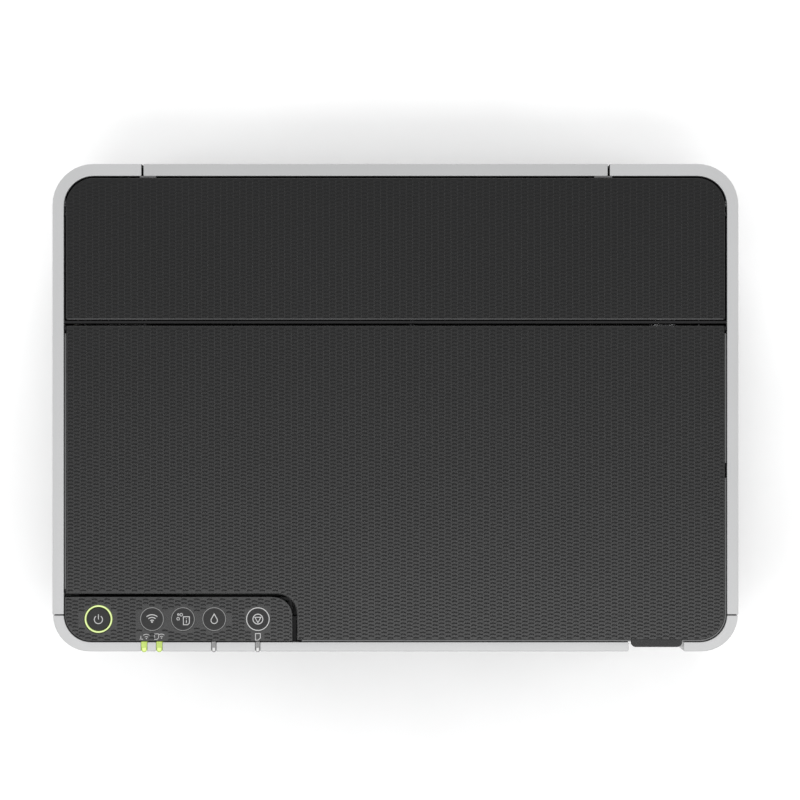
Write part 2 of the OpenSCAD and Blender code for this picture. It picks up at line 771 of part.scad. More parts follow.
// An open box on the guide rod, with a rear shoe for the rod and a clamp for the belt
module carriage() {
    wall_t = 2.2;
    x = carriage_x;
    color("#46484b") difference() {
        union() {
            difference() {
                box(x, [-27.5, 24], [84.5, 126]);
                box([x[0] + wall_t, x[1] - wall_t], [-27.5 + wall_t, 24 - wall_t], [90.5, 127]);
            }
            box([x[0] + 6, x[1] - 6], [23, 33.6], [97.5, 111]);
            box([119, 131], [24, 33.6], [109, 112.4]);
            for (clamp = [119, 129]) box([clamp, clamp + 2], [24, 26.7], [111, 118]);
        }
        xrod(shaft_r + fit, x, [rod_y, rod_z]);
        box([head_x[0] - 0.1, head_x[1] + 0.1], [head_y[0] - 0.1, head_y[1] + 0.1], [80, 92]);
    }
}

head_x = [110, 140];
head_y = [-16, 8];

// A flanged block with its nozzle plate underneath
module print_head() {
    color("#2a2b2d") {
        box(head_x, head_y, [84, 93]);
        box([head_x[0] - 4, head_x[1] + 4], [head_y[0] - 4, head_y[1] + 4], [90.5, 108]);
    }
    color("#caa860") box([head_x[0] + 3, head_x[1] - 3], [head_y[0] + 3, head_y[1] - 3], [83.2, 84]);
}

module drive_belt() {
    color("#1d1d1e") difference() {
        belt_loop(belt_r + 1.2);
        belt_loop(belt_r + 0.3);
    }
}

module belt_loop(r) {
    translate([0, belt_y[0], 0]) rotate([90, 0, 0]) mirror([0, 0, 1])
        linear_extrude(belt_y[1] - belt_y[0])
            polygon(concat(arc(belt_x[1], belt_z, r, -90, 90, 16),
                           arc(belt_x[0], belt_z, r, 90, 270, 16)));
}

// A pulley with one flange, its axis along Y at x
module pulley(x, bore) {
    difference() {
        union() {
            yrod(belt_r, [belt_y[0] - 0.4, belt_y[1] + 0.4], [x, belt_z]);
            yrod(belt_r + 1.4, [belt_y[0] - 1.2, belt_y[0] - 0.4], [x, belt_z]);
        }
        yrod(bore, [belt_y[0] - 2, belt_y[1] + 2], [x, belt_z]);
    }
}

module drive_pulley() {
    color("#d8d8d0") pulley(belt_x[1], stub_r);
    color("#b0b0b0") yrod(stub_r, [belt_y[0] - 1.2, 40], [belt_x[1], belt_z]);
}

module idler_pulley() { color("#d8d8d0") pulley(belt_x[0], stub_r + fit); }

module carriage_motor() {
    color("#8c8f92") difference() {
        union() {
            yrod(12, [40.5, 64], [belt_x[1], belt_z]);
            yrod(5, [wall_y[1] + 0.1, 40.5], [belt_x[1], belt_z]);
        }
        yrod(stub_r + fit, [38, 41], [belt_x[1], belt_z]);
    }
}

module feed_motor() {
    face = plate_x[0] + plate_t + 0.1;
    color("#8c8f92") difference() {
        xrod(13, [face, face + 29.7], pinion_at);
        xrod(motor_shaft_r + fit, [face - 2, face + 10.7], pinion_at);
    }
}

module encoder_strip() { color("#9aa0a6") box([strip_x[0], strip_x[1] + 2], strip_y, strip_z); }

// The cap under the parked print head, and the wiper beside it
module capping_station() {
    cap_x = [108.5, 141.5];
    cap_y = [-18, 10];
    lip = 3;
    function inside(v) = [v[0] + lip, v[1] - lip];
    color("#505255") {
        box([104.5, 160], [-25, 20], [pad_z, 70]);
        difference() {
            box(cap_x, cap_y, [69, 79]);
            box(inside(cap_x), inside(cap_y), [76, 80]);
        }
    }
    color("#2a2a2a") difference() {
        box(cap_x, cap_y, [79, 83]);
        box(inside(cap_x), inside(cap_y), [78, 84]);
    }
    color("#2a2a2a") box([105.2, 106.4], [-16, 8], [69.5, 83]);
}

pad_z = 16.5;
module waste_ink_pad() { color("#e9e7df") box([108, 160], [-60, 50], [floor_z, pad_z]); }

// ---- ink ----

// A closed tank with a filler neck, two cap hinge posts and the hole of the tube
module ink_tank() {
    post = [[cap_hinge[0] - 3, tank_z[1] - 1], [cap_hinge[0] + 3, tank_z[1] - 1],
        [cap_hinge[0] + 3, cap_hinge[1] + 2], [cap_hinge[0] - 3, cap_hinge[1] + 2]];
    function inside(v) = [v[0] + tank_t, v[1] - tank_t];
    color([0.85, 0.88, 0.9, 0.5]) difference() {
        union() {
            box(tank_x, tank_y, tank_z);
            zrod(9, [tank_z[1] - 1, 110], fill_at);
            for (x = [140, 156]) xslab(post, [x, x + 4]);
        }
        box(inside(tank_x), inside(tank_y), inside(tank_z));
        zrod(5.5, [tank_z[1] - tank_t - 1, 111], fill_at);
        xrod(cap_pin_r + fit, [139, 161], cap_hinge);
        yrod(1.5, [tank_y[1] - tank_t - 1, tank_y[1] + 1], tube_at);
    }
}

// A lever with a plug that closes the neck
module tank_cap() {
    z = [cap_hinge[1] - 1.5, cap_hinge[1] + 1.5];
    color("#2b2c2e") {
        box([138, 162], [fill_at[1] - 12, cap_hinge[0] - 3.6], z);
        box([144.6, 155.4], [cap_hinge[0] - 4, cap_hinge[0]], z);
        xrod(cap_pin_r, [140.5, 159.5], cap_hinge);
        difference() {
            zrod(4.2, [106, z[0] + 0.1], fill_at);
            zrod(3, [105, 110], fill_at);
        }
    }
}

module ink_window() {
    color([0.8, 0.85, 0.9, 0.4])
        box([window_x[0] + 0.1, window_x[1] - 0.1], [recess_y + 0.1, recess_y + 1.9],
            [window_z[0] + 0.1, window_z[1] - 0.1]);
}

// The fixed stretch of tube, from the tank along the front wheel holder
module ink_tube() {
    turn_y = -40;
    r = 2;
    color([0.2, 0.2, 0.22, 0.9]) {
        yrod(r, [tank_y[1], turn_y], tube_at);
        translate([tube_at[0], turn_y, tube_at[1]]) sphere(r);
        xrod(r, [20, tube_at[0]], [turn_y, tube_at[1]]);
    }
}

// ---- electrics ----

// The board under the control panel, with its switches, and the main board at the rear
module circuit_boards() {
    main_z = [30, 30 + board_t];
    chips = [[-120, 95, 14], [-92, 88, 9], [-84, 112, 8]];
    color("#2c6b3f")
        box([-176, panel_x1 - 3], [panel_y[0] + 1, panel_y[1] - 2.6], [board_z, board_z + board_t]);
    color("#c8c8c8") for (x = concat([power_x], small_buttons))
        box([x - 3, x + 3], [button_y - 3, button_y + 3], [board_z + board_t, switch_z]);
    color("#2c6b3f") box([-170, -60], [70, 128.5], main_z);
    color("#1b1b1c") for (c = chips)
        box([c[0] - c[2], c[0] + c[2]], [c[1] - c[2], c[1] + c[2]], [main_z[1], main_z[1] + 2]);
    color("#3a3b3d") for (x = [-166, -64], y = [74, 124]) zrod(2.5, [floor_z, main_z[0]], [x, y]);
}

// A closed supply with its mains inlet at the rear: two round sockets run together, and two pins
module power_supply() {
    mid = [(inlet_x[0] + inlet_x[1]) / 2, (inlet_z[0] + inlet_z[1]) / 2];
    pin_x = 4.3;
    mouth_r = 4.6;
    depth = 15;
    color("#1f2022") difference() {
        union() {
            box([64, 168], [66, 112], [floor_z, 52]);
            box(inlet_x, [110, rear_y - 0.8], inlet_z);
        }
        for (s = [-1, 1]) yrod(mouth_r, [rear_y - depth, rear_y + 1], [mid[0] + s * pin_x, mid[1]]);
        box([mid[0] - pin_x, mid[0] + pin_x], [rear_y - depth, rear_y + 1],
            [mid[1] - 3.4, mid[1] + 3.4]);
    }
    color("#c9ccce") for (s = [-1, 1])
        yrod(1.2, [rear_y - depth - 0.5, rear_y - 4], [mid[0] + s * pin_x, mid[1]]);
}

module usb_socket() {
    t = 1.2;
    color("#b9bcbe") difference() {
        box(usb_x, [115, rear_y - 0.8], usb_z);
        box([usb_x[0] + t, usb_x[1] - t], [119, rear_y + 1], [usb_z[0] + 5, usb_z[1] - t]);
    }
    color("#e9e9e9") box([-152.6, -147.4], [118, rear_y - 3], [39.5, 42.5]);
}

// ---- output tray ----

module output_tray() {
    low = opening_z[0] + 2;
    y = [front_y + 1, 3];
    color("#3a3b3d") {
        box(tray_x, y, [low, low + tray_t]);
        for (x = [tray_x[0], tray_x[1] - 2.5]) box([x, x + 2.5], y, [low + 2, low + 8]);
    }
}

extension_z = [opening_z[0] + 5.4, opening_z[0] + 9];
stopper_at = [front_y + 7, (extension_z[0] + extension_z[1]) / 2];
stopper_w = 30;
stopper_r = 1.2;

// Its front edge has the recess of the paper stopper
module tray_extension() {
    recess = stopper_w + 0.4;
    color("#44464a") difference() {
        box([tray_x[0] + 3, tray_x[1] - 3], [front_y + 1, -8], extension_z);
        box([paper_x - recess, paper_x + recess], [stopper_at[0] - 2, stopper_at[0] + 25], [20, 40]);
        xrod(stopper_r + fit, [paper_x - stopper_w - 3, paper_x + stopper_w + 3], stopper_at);
    }
}

module paper_stopper() {
    pin = stopper_w + 2.6;
    color("#4c4e52") {
        box([paper_x - stopper_w, paper_x + stopper_w], [stopper_at[0], stopper_at[0] + 24],
            [stopper_at[1] - stopper_r, stopper_at[1] + stopper_r]);
        xrod(stopper_r, [paper_x - pin, paper_x + pin], stopper_at);
    }
}

// ---- small parts ----

// The ring round the power button and the four guides that cross the rim
module light_pipes() {
    color("#d2e46e") for (p = [pipes[0], pipes[1]]) light_pipe(p[0], p[1]);
    color("#e8e8e8") for (p = [pipes[2], pipes[3]]) light_pipe(p[0], p[1]);
    color("#e8f8a0") difference() {
        zrod(ring_r, [panel_z + 0.1, top_z + 0.1], [power_x, button_y]);
        zrod(ring_r - 1.2, [panel_z - 1, top_z + 1], [power_x, button_y]);
    }
}

module light_pipe(x, w) {
    side = [x - w / 2, x + w / 2];
    rear = rim_y0 + 0.3;
    box(side, [front_y - led_proud, rear], [rim_z - 0.9, body_h]);
    box(side, [front_y + wall + 0.2, rear], [board_z + 2, rim_z]);
}

module rubber_feet() {
    color("#29292a") for (x = [-150, 150], y = [-108, 104]) zrod(9, [0, foot_h], [x, y]);
}

module screws() {
    color("#8a8d90") for (s = screw_places()) {
        zrod(screw_r, [foot_h + 2, 32], s);
        zrod(head_r, [foot_h + 0.4, head_z], s);
    }
}

bottom_case();
tray_bed();
outer_case();
rear_cover();
front_panel();
control_panel();
printer_cover();
paper_support();
support_extension();
feeder_guard();
feeder_frame();
hopper_plate();
left_edge_guide();
right_edge_guide();
guide_pinion();
pickup_roller();
pickup_tyre();
pickup_gear();
transfer_gear();
second_gear();
main_frame();
feed_roller();
feed_gear();
idler_gear();
exit_roller();
exit_gear();
motor_pinion();
feed_motor();
pinch_rollers();
star_wheels();
wheel_holders();
platen();
guide_rod();
carriage();
print_head();
drive_belt();
drive_pulley();
idler_pulley();
carriage_motor();
encoder_strip();
capping_station();
waste_ink_pad();
ink_tank();
tank_cap();
ink_window();
ink_tube();
circuit_boards();
power_supply();
usb_socket();
output_tray();
tray_extension();
paper_stopper();
power_button();
wireless_button();
network_button();
ink_button();
stop_button();
light_pipes();
rubber_feet();
screws();
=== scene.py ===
import json
import math

import bpy
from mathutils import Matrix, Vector


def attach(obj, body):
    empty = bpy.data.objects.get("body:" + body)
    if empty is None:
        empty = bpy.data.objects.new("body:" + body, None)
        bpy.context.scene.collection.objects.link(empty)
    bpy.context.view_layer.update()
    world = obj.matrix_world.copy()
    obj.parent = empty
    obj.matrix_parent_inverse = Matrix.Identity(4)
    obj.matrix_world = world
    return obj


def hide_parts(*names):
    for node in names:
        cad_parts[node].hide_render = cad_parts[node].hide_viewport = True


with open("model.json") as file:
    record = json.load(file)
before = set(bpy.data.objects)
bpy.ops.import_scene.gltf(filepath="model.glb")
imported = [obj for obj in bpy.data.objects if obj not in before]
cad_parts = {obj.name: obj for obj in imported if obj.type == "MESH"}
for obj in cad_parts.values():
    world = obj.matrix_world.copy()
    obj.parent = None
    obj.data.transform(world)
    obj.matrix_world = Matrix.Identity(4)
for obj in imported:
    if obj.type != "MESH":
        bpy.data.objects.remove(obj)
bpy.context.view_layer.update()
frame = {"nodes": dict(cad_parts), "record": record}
nodes = frame["nodes"]
MM = 0.001

# ---- sizes shared with the frame, in millimetres ----

RIM_TOP = 161.0
PANEL_Z, TOP_Z = 157.4, 160.4  # underside and top of the black panels
INNER_X = 181.2  # inner face of the rim at either side
BUTTON_Y, BUTTON_TOP = -115.4, 160.5
POWER_X = -162.4
KEYS = {"wireless_key": -133.1, "network_key": -116.2, "ink_key": -99.1, "stop_key": -75.2}
SKIN = 0.05  # an overlap or margin too small to see
HAIR = 0.02  # keeps two faces out of one plane


# ---- materials ----

NOISE_RANGE = (0.3, 0.7)
TINT_STOPS = (0.35, 0.65)
ACRYLIC_IOR = 1.49
GUIDE_ROUGH = 0.3


def principled(name):
    material = bpy.data.materials.new(name)
    material.use_nodes = True
    tree = material.node_tree
    return material, tree, tree.nodes["Principled BSDF"]


def noise(tree, scale, detail=2.0, stretch=(1, 1, 1)):
    coord = tree.nodes.new("ShaderNodeTexCoord")
    mapping = tree.nodes.new("ShaderNodeMapping")
    mapping.inputs["Scale"].default_value = stretch
    tex = tree.nodes.new("ShaderNodeTexNoise")
    tex.inputs["Scale"].default_value = scale
    tex.inputs["Detail"].default_value = detail
    tree.links.new(coord.outputs["Object"], mapping.inputs["Vector"])
    tree.links.new(mapping.outputs["Vector"], tex.inputs["Vector"])
    return tex.outputs["Fac"]


def spread(tree, fac, middle, reach):
    """Turns a noise into a value that drifts by reach to either side of the middle."""
    node = tree.nodes.new("ShaderNodeMapRange")
    node.inputs["From Min"].default_value, node.inputs["From Max"].default_value = NOISE_RANGE
    node.inputs["To Min"].default_value = middle - reach
    node.inputs["To Max"].default_value = middle + reach
    tree.links.new(fac, node.inputs["Value"])
    return node.outputs["Result"]


def tint(tree, fac, colour, low, high=1.0):
    """Turns a noise into a colour that drifts between two multiples of itself."""
    ramp = tree.nodes.new("ShaderNodeValToRGB")
    for stop, position, factor in zip(ramp.color_ramp.elements, TINT_STOPS, (low, high)):
        stop.position = position
        stop.color = (*(c * factor for c in colour), 1)
    tree.links.new(fac, ramp.inputs["Fac"])
    return ramp.outputs["Color"]


def bump(tree, shader, fac, strength, distance):
    node = tree.nodes.new("ShaderNodeBump")
    node.inputs["Strength"].default_value = strength
    node.inputs["Distance"].default_value = distance
    tree.links.new(fac, node.inputs["Height"])
    tree.links.new(node.outputs["Normal"], shader.inputs["Normal"])


def moulded(name, colour, rough=0.5, grain=1800, depth=0.00004, variation=0.05, specular=0.5, metallic=0.0,
            stretch=(1, 1, 1), patch=14):
    """Moulded or rolled material: fine grain in the surface, slow drift in colour and gloss."""
    material, tree, shader = principled(name)
    drift = noise(tree, patch, 3, stretch)
    fine = noise(tree, grain, 3, stretch)
    tree.links.new(tint(tree, drift, colour, 1 - variation, 1 + variation), shader.inputs["Base Color"])
    tree.links.new(spread(tree, fine, rough, reach=0.06), shader.inputs["Roughness"])
    bump(tree, shader, fine, strength=0.5, distance=depth)
    shader.inputs["Metallic"].default_value = metallic
    shader.inputs["Specular IOR Level"].default_value = specular
    return material


def clear(name, colour, alpha, rough):
    """Clear plastic with a faint haze and ripple."""
    material, tree, shader = principled(name)
    drift = noise(tree, scale=60)
    haze = noise(tree, scale=900)
    ripple = noise(tree, scale=500)
    tree.links.new(tint(tree, drift, colour, low=0.94), shader.inputs["Base Color"])
    tree.links.new(spread(tree, haze, rough, reach=0.05), shader.inputs["Roughness"])
    bump(tree, shader, ripple, strength=0.2, distance=0.00005)
    shader.inputs["Alpha"].default_value = alpha
    shader.inputs["IOR"].default_value = ACRYLIC_IOR
    return material


def lit(name, colour, strength):
    """A light guide with its lamp on: brighter in some places than in others."""
    material, tree, shader = principled(name)
    drift = noise(tree, scale=300)
    haze = noise(tree, scale=1500)
    ripple = noise(tree, scale=1200)
    tree.links.new(tint(tree, drift, colour, low=0.9), shader.inputs["Base Color"])
    tree.links.new(tint(tree, drift, colour, low=0.88), shader.inputs["Emission Color"])
    tree.links.new(spread(tree, haze, GUIDE_ROUGH, reach=0.05), shader.inputs["Roughness"])
    bump(tree, shader, ripple, strength=0.2, distance=0.00003)
    shader.inputs["Emission Strength"].default_value = strength
    return material


CASE_FINISH = {"rough": 0.32, "grain": 2600, "depth": 0.00002, "variation": 0.015}
PANEL_FINISH = {"rough": 0.29, "grain": 2400, "depth": 0.00001, "variation": 0.08}
PANEL_COLOUR = (0.0042, 0.0043, 0.0045)
# One case grey in three copies: the rear cover's is darker as painted shade, the front panel's is lighter
# as painted light.
CASE = moulded("case_grey", (0.367, 0.369, 0.372), **CASE_FINISH)
CASE_REAR_SHADED = moulded("case_grey_rear_painted_shade", (0.332, 0.334, 0.336), **CASE_FINISH)
CASE_FRONT_LIT = moulded("case_grey_front_painted_light", (0.376, 0.378, 0.381), **CASE_FINISH)
BASE = moulded("case_black", (0.022, 0.0225, 0.024), grain=2200, depth=0.00003)
PANEL = moulded("panel_black", PANEL_COLOUR, **PANEL_FINISH, specular=0.35)
RIDGE = moulded("panel_ridge", PANEL_COLOUR, **PANEL_FINISH, specular=0.36)
PANEL_TAB = moulded("panel_tab", PANEL_COLOUR, **PANEL_FINISH, specular=0.22)
# Painted highlight: a lighter black for the strips along the cover's edges and the flap's front edge, where
# rounded edges catch the light.
PANEL_HIGHLIGHT = moulded("panel_painted_highlight", (0.075, 0.0755, 0.0765), 0.42, 2400, 0.00001, variation=0.08,
                     specular=0.4)
# Painted shade: a near-black for the bar between the covers, the ledge under the control panel, the seams'
# walls and the hinge pins, where shade falls.
SHADE = moulded("painted_shade_black", (0.006, 0.006, 0.0065), 0.6, depth=0.00002, specular=0.2)
INNER = moulded("inner_black", (0.018, 0.0185, 0.0195), 0.45)
INNER_GREY = moulded("inner_grey", (0.055, 0.056, 0.059), 0.48)
HINGE = moulded("hinge_tab", (0.10, 0.10, 0.102), grain=2000)
WHITE = moulded("white_plastic", (0.72, 0.71, 0.66), 0.35, 1500, 0.00002)
STEEL = moulded("steel", (0.52, 0.53, 0.54), 0.36, 900, 0.00002, metallic=1.0, stretch=(1, 1, 12))
SHAFT = moulded("shaft_steel", (0.62, 0.63, 0.64), 0.22, 1600, 0.00001, variation=0.03, metallic=1.0,
                stretch=(0.05, 1, 1))
RUBBER = moulded("rubber_dark", (0.016, 0.016, 0.0165), 0.8, 1300, 0.00006)
BRASS = moulded("brass", (0.62, 0.45, 0.2), 0.3, 900, 0.00002, variation=0.06, metallic=1.0)
BOARD = moulded("board_green", (0.012, 0.09, 0.032), 0.3, 420, 0.00003, variation=0.25, patch=260)
CHIP = moulded("chip_black", (0.012, 0.012, 0.013), 0.4, 1200)
FOAM = moulded("foam", (0.68, 0.67, 0.63), 0.95, 500, 0.0004, variation=0.08)
FILM = moulded("film", (0.25, 0.27, 0.3), 0.2, 1400, 0.00001, variation=0.3, stretch=(8, 0.2, 0.2),
               patch=400)
TUBE = moulded("tube_dark", (0.022, 0.022, 0.025), 0.3, 700, 0.00002)
INK = moulded("ink_black", (0.004, 0.004, 0.007), 0.4, 300, 0.00001, specular=0.12)
TANK = clear("tank_clear", (0.78, 0.8, 0.82), alpha=0.2, rough=0.35)
WINDOW = clear("window_clear", (0.7, 0.75, 0.8), alpha=0.1, rough=0.1)
GUIDE_DARK = moulded("light_guide_off", (0.15, 0.15, 0.15), 0.35, 900, 0.00002)
GUIDE_TIP = moulded("light_guide_tip", (0.47, 0.47, 0.47), 0.35, 900, 0.00002)
GUIDE_LIT = lit("light_guide_lit", (0.27, 0.37, 0.05), strength=0.43)
GUIDE_LIT_TIP = lit("light_guide_lit_tip", (0.4, 0.5, 0.13), strength=0.6)
RING_LIT = lit("power_ring_lit", (0.4, 0.49, 0.19), strength=0.68)
# White print, which also paints the highlight on the stop key's rim; the grey paints the highlight on the
# other keys' rims.
PRINT_AND_HIGHLIGHT = moulded("print_and_rim_highlight_white", (0.42, 0.42, 0.42), 0.55, 2500, 0.00001)
RIM_HIGHLIGHT_GREY = moulded("rim_highlight_grey", (0.2, 0.2, 0.2), 0.55, 2500, 0.00001)
BUTTON = moulded("button_black", (0.006, 0.0061, 0.0063), 0.32, 3000, 0.00001, specular=0.2)
FLOOR = moulded("floor_white", (0.9, 0.9, 0.9), 0.7, 200, 0.00002, variation=0.01)

BY_SLOT = {
    "case_grey": CASE, "case_black": BASE, "panel_black": PANEL, "inner_black": INNER,
    "inner_grey": INNER_GREY, "white_plastic": WHITE, "steel": STEEL, "shaft_steel": SHAFT,
    "rubber_dark": RUBBER, "tank_clear": TANK, "window_clear": WINDOW, "tube_dark": TUBE,
    "board_green": BOARD, "foam": FOAM, "brass": BRASS, "light_guide": GUIDE_LIT, "film": FILM,
    "button_black": BUTTON,
}
SQUARE_ON = 0.99


def paint(node, material):
    mesh = nodes[node].data
    mesh.materials.clear()
    mesh.materials.append(material)
    for poly in mesh.polygons:
        poly.material_index = 0


def repaint(node, material, inside, facing=None):
    """Gives another material to the faces of a CAD node whose centre, in mm, passes the test.

    With facing, only faces square to that axis count.
    """
    mesh = nodes[node].data
    mesh.materials.append(material)
    index = len(mesh.materials) - 1
    for poly in mesh.polygons:
        x, y, z = poly.center / MM
        if inside(x, y, z) and (facing is None or abs(poly.normal[facing]) > SQUARE_ON):
            poly.material_index = index


# ---- mesh code, in millimetres ----

SHARP_ANGLE = 32
EVEN_WEIGHT = 80
LEAST_R = 0.01


def arc(cx, cy, r, a0, a1, n=10):
    turns = [math.radians(a0 + (a1 - a0) * i / n) for i in range(n + 1)]
    return [(cx + r * math.cos(a), cy + r * math.sin(a)) for a in turns]


def circle(cx, cy, r, n):
    return arc(cx, cy, r, 0, 360 - 360 / n, n - 1)


def rounded(x0, x1, y0, y1, rf, rr, d=0.0, n=10):
    """A rectangle moved in by d, with its own front and rear corner radii."""
    rf, rr = max(rf, d + LEAST_R), max(rr, d + LEAST_R)
    return (arc(x1 - rr, y1 - rr, rr - d, 0, 90, n) + arc(x0 + rr, y1 - rr, rr - d, 90, 180, n)
            + arc(x0 + rf, y0 + rf, rf - d, 180, 270, n) + arc(x1 - rf, y0 + rf, rf - d, 270, 360, n))


def shade(obj):
    split = obj.modifiers.new("split", "EDGE_SPLIT")
    split.split_angle = math.radians(SHARP_ANGLE)
    even = obj.modifiers.new("even", "WEIGHTED_NORMAL")
    even.weight = EVEN_WEIGHT


class Shape:
    """Collects the solids of one piece, each with a material number."""

    def __init__(self):
        self.verts, self.faces, self.marks = [], [], []

    def add(self, verts, faces, mark=0):
        base = len(self.verts)
        self.verts += verts
        self.faces += [tuple(base + i for i in f) for f in faces]
        self.marks += [mark] * len(faces)

    def loft(self, loops, mark=0):
        """Joins loops of equal length, first to last, and closes both ends."""
        n = len(loops[0])
        verts = [p for loop in loops for p in loop]
        faces = [tuple(reversed(range(n))), tuple(range((len(loops) - 1) * n, len(loops) * n))]
        for k in range(len(loops) - 1):
            for i in range(n):
                j = (i + 1) % n
                faces.append((k * n + i, k * n + j, (k + 1) * n + j, (k + 1) * n + i))
        self.add(verts, faces, mark)

    def plate(self, outline, z0, z1, top, bottom, steps=3, mark=0):
        """A flat plate with rounded edges; outline(d) is its outline moved in by d."""
        levels = [(bottom, z0), (0.0, z0 + bottom)]
        for i in range(steps + 1):
            a = math.pi / 2 * i / steps
            levels.append((top * (1 - math.cos(a)), z1 - top + top * math.sin(a)))
        self.loft([[(x, y, z) for x, y in outline(d)] for d, z in levels], mark)

    def block(self, x, y, z, edge, mark=0):
        """A box with rounded upright corners and softened rims."""
        self.plate(lambda d: rounded(*x, *y, edge, edge, d, 3), *z, edge, edge, 2, mark)

    def along_x(self, outline, x0, x1, end=0.2, mark=0):
        """A solid of one YZ outline along X, with chamfered ends; outline(d) is moved in by d."""
        levels = [(end, x0), (0.0, x0 + end), (0.0, x1 - end), (end, x1)]
        self.loft([[(x, y, z) for y, z in outline(d)] for d, x in levels], mark)

    def strip(self, rails, mark=0):
        """A bar along rails: paths of equal length, each with its height, in order round the bar."""
        n = len(rails[0][0])
        self.loft([[(*path[i], z) for path, z in rails] for i in range(n)], mark)

    def ring(self, x, y, profile, n=72, mark=0):
        """A solid ring about an upright axis at x, y; profile lists its radii and heights."""
        m = len(profile)
        turns = [2 * math.pi * i / n for i in range(n)]
        verts = [(x + r * math.cos(a), y + r * math.sin(a), z) for a in turns for r, z in profile]
        faces = [(i * m + k, (i + 1) % n * m + k, (i + 1) % n * m + (k + 1) % m, i * m + (k + 1) % m)
                 for i in range(n) for k in range(m)]
        self.add(verts, faces, mark)

    def piece(self, name, body, slot, *materials, solid=True, smooth=True):
        """Makes the piece. A solid has its sharp edges split; prints and relief need no such care."""
        mesh = bpy.data.meshes.new(name)
        mesh.from_pydata([Vector(v) * MM for v in self.verts], [], self.faces)
        for material in materials:
            mesh.materials.append(material)
        mesh.polygons.foreach_set("material_index", self.marks)
        mesh.polygons.foreach_set("use_smooth", [smooth] * len(self.faces))
        mesh.update()
        obj = bpy.data.objects.new(name, mesh)
        bpy.context.scene.collection.objects.link(obj)
        if solid:
            shade(obj)
        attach(obj, body)
        return obj


# ---- CAD nodes that stay ----

WELD_GAP, FLAT_ANGLE, EDGE_SEGMENTS = 0.002, 0.5, 2


def soften(node, width, merge):
    """Rounds the sharp edges of a CAD node with modifiers; its mesh stays as packed.

    With merge, the triangles of each flat face are joined first.
    """
    obj = nodes[node]
    for name in ("custom_normal", "sharp_face", "sharp_edge"):
        if name in obj.data.attributes:
            obj.data.attributes.remove(obj.data.attributes[name])
    obj.data.polygons.foreach_set("use_smooth", [True] * len(obj.data.polygons))
    weld = obj.modifiers.new("weld", "WELD")
    weld.merge_threshold = WELD_GAP * MM
    if merge:
        flat = obj.modifiers.new("flat", "DECIMATE")
        flat.decimate_type = "DISSOLVE"
        flat.angle_limit = math.radians(FLAT_ANGLE)
        flat.delimit = {"MATERIAL"}
    if width:
        edge = obj.modifiers.new("edge", "BEVEL")
        edge.width = width * MM
        edge.segments = EDGE_SEGMENTS
        edge.limit_method = "ANGLE"
        edge.angle_limit = math.radians(SHARP_ANGLE)
        edge.use_clamp_overlap = False
        edge.miter_outer = "MITER_ARC"
    shade(obj)


def paint_case():
    """Grey walls, with painted shade in near-black on the bar between the covers, the panel's ledge and the
    walls of the seams.
    """
    bar_y, bar_bottom = (46.0, 54.0), 139.0
    ledge_y, ledge_end_x, ledge_z = -128.5, 120, (140, 157.5)
    repaint("outer_case", SHADE,
            lambda x, y, z: bar_y[0] < y < bar_y[1] and z > bar_bottom and abs(x) < INNER_X)
    repaint("front_panel", SHADE,
            lambda x, y, z: y > ledge_y and -INNER_X < x < ledge_end_x and ledge_z[0] < z < ledge_z[1])
    # painted shade on the rear cover and painted light on the front panel, through darker and lighter
    # copies of the grey
    paint("rear_cover", CASE_REAR_SHADED)
    nodes["front_panel"].data.materials[0] = CASE_FRONT_LIT
    side_seam_y, rear_seams_x, seam = -113.1, (-138.3, 116.6), 0.6
    wall_x, wall_y = 180, 120
    for node in ("outer_case", "front_panel"):
        repaint(node, SHADE, lambda x, y, z: abs(y - side_seam_y) < seam and abs(x) > wall_x, facing=1)
    for node in ("outer_case", "rear_cover"):
        repaint(node, SHADE,
                lambda x, y, z: any(abs(x - at) < seam for at in rear_seams_x) and y > wall_y, facing=0)


def paint_details():
    """Parts of a node that are of another material: nozzles, chips, lips and contacts."""
    nozzle_z = 83.99
    repaint("print_head", BRASS, lambda x, y, z: z < nozzle_z)
    board_top, board_t, key_board_top, chips_end_z = 31.6, 1.6, 149.6, 40
    repaint("circuit_boards", CHIP, lambda x, y, z: board_top + SKIN < z < chips_end_z)
    repaint("circuit_boards", WHITE, lambda x, y, z: z > key_board_top + SKIN)
    repaint("circuit_boards", INNER_GREY, lambda x, y, z: z < board_top - board_t - SKIN)
    lip_z, wiper_x, wiper_z = 79.05, (105.1, 106.5), 70.1
    repaint("capping_station", RUBBER,
            lambda x, y, z: z > lip_z or (wiper_x[0] < x < wiper_x[1] and z > wiper_z))
    tongue_x, tongue_y, tongue_z = (-152.7, -147.3), 118, (39.4, 42.6)
    repaint("usb_socket", WHITE,
            lambda x, y, z: tongue_x[0] < x < tongue_x[1] and y > tongue_y
            and tongue_z[0] < z < tongue_z[1])
    supply_rear, inlet_x, inlet_z, pin_x, pin_r = 112.0, 140.0, 36.0, 4.3, 1.25
    repaint("power_supply", STEEL,
            lambda x, y, z: y > supply_rear and abs(z - inlet_z) < pin_r
            and abs(abs(x - inlet_x) - pin_x) < pin_r)


# Edge radius of each node, in millimetres; the others keep sharp edges.
EDGES = {
    "outer_case": 0.5, "rear_cover": 0.5, "front_panel": 0.5, "control_panel": 0.25, "bottom_case": 0.6,
    "output_tray": 0.5, "tray_extension": 0.5, "paper_stopper": 0.4, "support_extension": 0.6,
    "feeder_guard": 0.4, "feeder_frame": 0.3, "hopper_plate": 0.3, "carriage": 0.6, "print_head": 0.5,
    "ink_tank": 0.6, "tank_cap": 0.5, "platen": 0.3, "capping_station": 0.3, "power_supply": 0.4,
    "usb_socket": 0.2, "rubber_feet": 0.6, "ink_window": 0.2, "power_button": 0.3, "wireless_button": 0.3,
    "network_button": 0.3, "ink_button": 0.3, "stop_button": 0.3,
}
